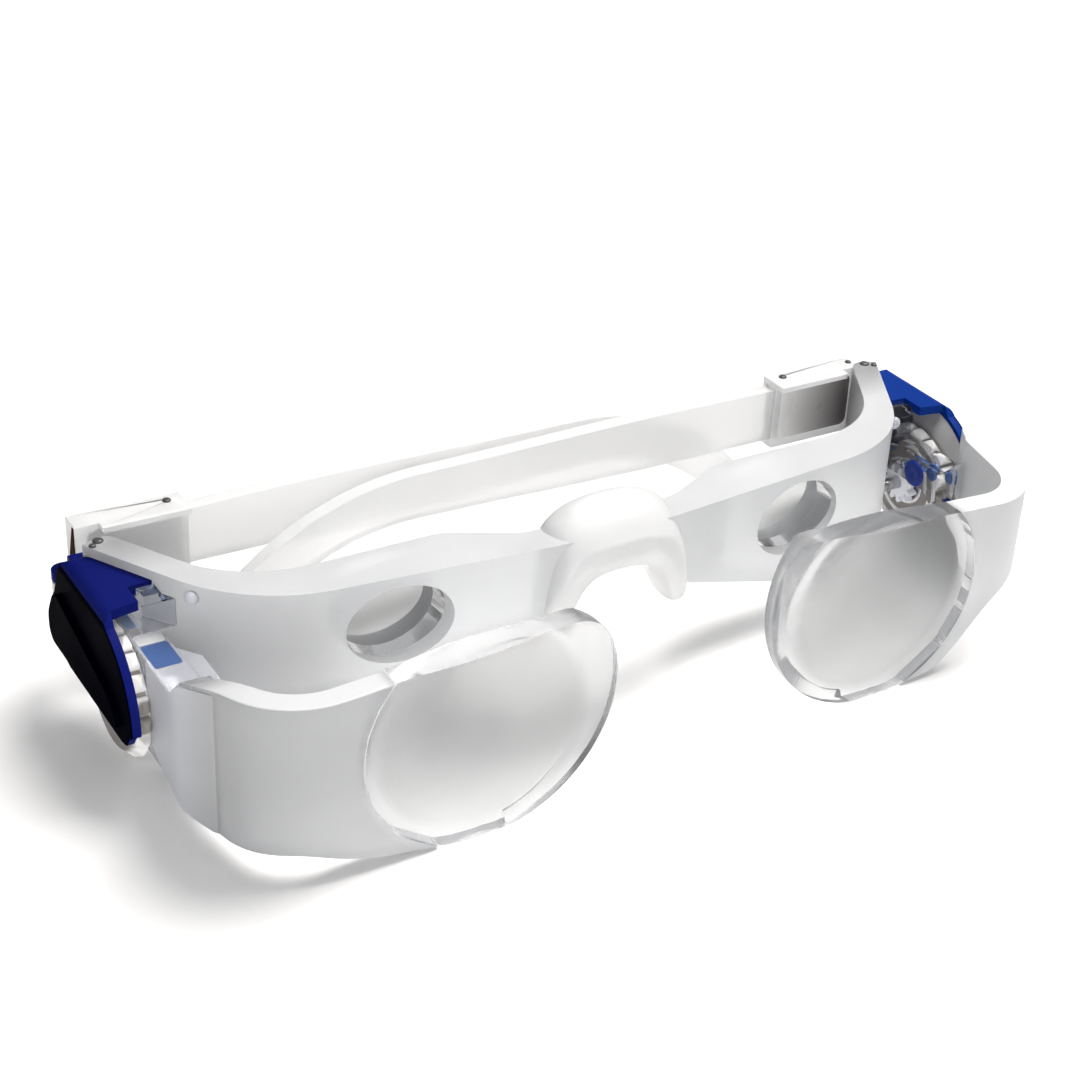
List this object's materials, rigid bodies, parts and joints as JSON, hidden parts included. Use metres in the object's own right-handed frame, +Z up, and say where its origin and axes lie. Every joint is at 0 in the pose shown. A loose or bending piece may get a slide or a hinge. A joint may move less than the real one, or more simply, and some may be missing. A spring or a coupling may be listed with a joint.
{
  "type": "telescopic glasses",
  "caption": "Low-power telescopic spectacles: hollow ocular lenses in a rear frame, large objective lenses on geared focusing arms, folding temples.",
  "frame": {"origin": "centre of the footprint on the table the glasses stand on, temples folded and focus as in the picture", "axes": "+X to the side of the right objective as drawn, -Y forwards out of the objectives, +Z up"},
  "size_m": [0.1388, 0.0604, 0.0302],
  "materials": {
    "frosted_plastic": "frosted",
    "soft_saddle": "soft",
    "clear_lens": "polished",
    "clear_plastic": "polished",
    "navy_plastic": "gloss",
    "dark_panel": "gloss",
    "steel": "satin",
    "white_wheel": "satin",
    "blue_hub": "gloss",
    "grey_plastic": "satin",
    "white_plastic": "satin"
  },
  "bodies": {
    "frame": {"rear_frame": "frosted_plastic", "nose_saddle": "soft_saddle", "ocular_lens_left": "clear_lens", "ocular_lens_right": "clear_lens", "guide_left": "clear_plastic", "guide_right": "clear_plastic", "housing_left": "navy_plastic", "housing_right": "navy_plastic", "side_panel_left": "dark_panel", "side_panel_right": "dark_panel", "axle_left": "steel", "axle_right": "steel", "hinge_block_left": "grey_plastic", "hinge_block_right": "grey_plastic", "hinge_pin_left": "steel", "hinge_pin_right": "steel"},
    "arm_left": {"objective_left": "frosted_plastic", "objective_lens_left": "clear_lens", "rack_block_left": "clear_plastic"},
    "wheel_left": {"focus_wheel_left": "white_wheel", "wheel_hub_left": "blue_hub"},
    "temple_left": {"temple_sleeve_left": "white_plastic", "stop_pin_left": "steel"},
    "bar_left": {"temple_bar_left": "white_plastic"},
    "arm_right": {"objective_right": "frosted_plastic", "objective_lens_right": "clear_lens", "rack_block_right": "clear_plastic"},
    "wheel_right": {"focus_wheel_right": "white_wheel", "wheel_hub_right": "blue_hub"},
    "temple_right": {"temple_sleeve_right": "white_plastic", "stop_pin_right": "steel"},
    "bar_right": {"temple_bar_right": "white_plastic"}
  },
  "joints": [
    {"name": "focus_left", "type": "slide", "parent": "frame", "child": "arm_left", "axis": [0, -1, 0], "range_m": [-0.0034, 0.002]},
    {"name": "wheel_turn_left", "type": "hinge", "parent": "frame", "child": "wheel_left", "pos_m": [-0.06585, 0.00799, 0.0106], "axis": [1, 0, 0], "range_deg": [-65.34, 38.6]},
    {"name": "temple_fold_left", "type": "hinge", "parent": "frame", "child": "temple_left", "pos_m": [-0.0654, 0.02839, 0.019], "axis": [0, 0, 1], "range_deg": [0, 92]},
    {"name": "temple_length_left", "type": "slide", "parent": "temple_left", "child": "bar_left", "axis": [1, 0, 0], "range_m": [0, 0.008]},
    {"name": "focus_right", "type": "slide", "parent": "frame", "child": "arm_right", "axis": [0, -1, 0], "range_m": [-0.0009, 0.0045]},
    {"name": "wheel_turn_right", "type": "hinge", "parent": "frame", "child": "wheel_right", "pos_m": [0.06585, 0.00799, 0.0106], "axis": [1, 0, 0], "range_deg": [-17.59, 86.34]},
    {"name": "temple_fold_right", "type": "hinge", "parent": "frame", "child": "temple_right", "pos_m": [0.0654, 0.02369, 0.019], "axis": [0, 0, -1], "range_deg": [0, 92]},
    {"name": "temple_length_right", "type": "slide", "parent": "temple_right", "child": "bar_right", "axis": [-1, 0, 0], "range_m": [0, 0.008]}
  ],
  "couplings": [
    {"joint": "wheel_turn_left", "follows": "focus_left", "rad_per_m": 333.33},
    {"joint": "wheel_turn_right", "follows": "focus_right", "rad_per_m": 333.33}
  ]
}
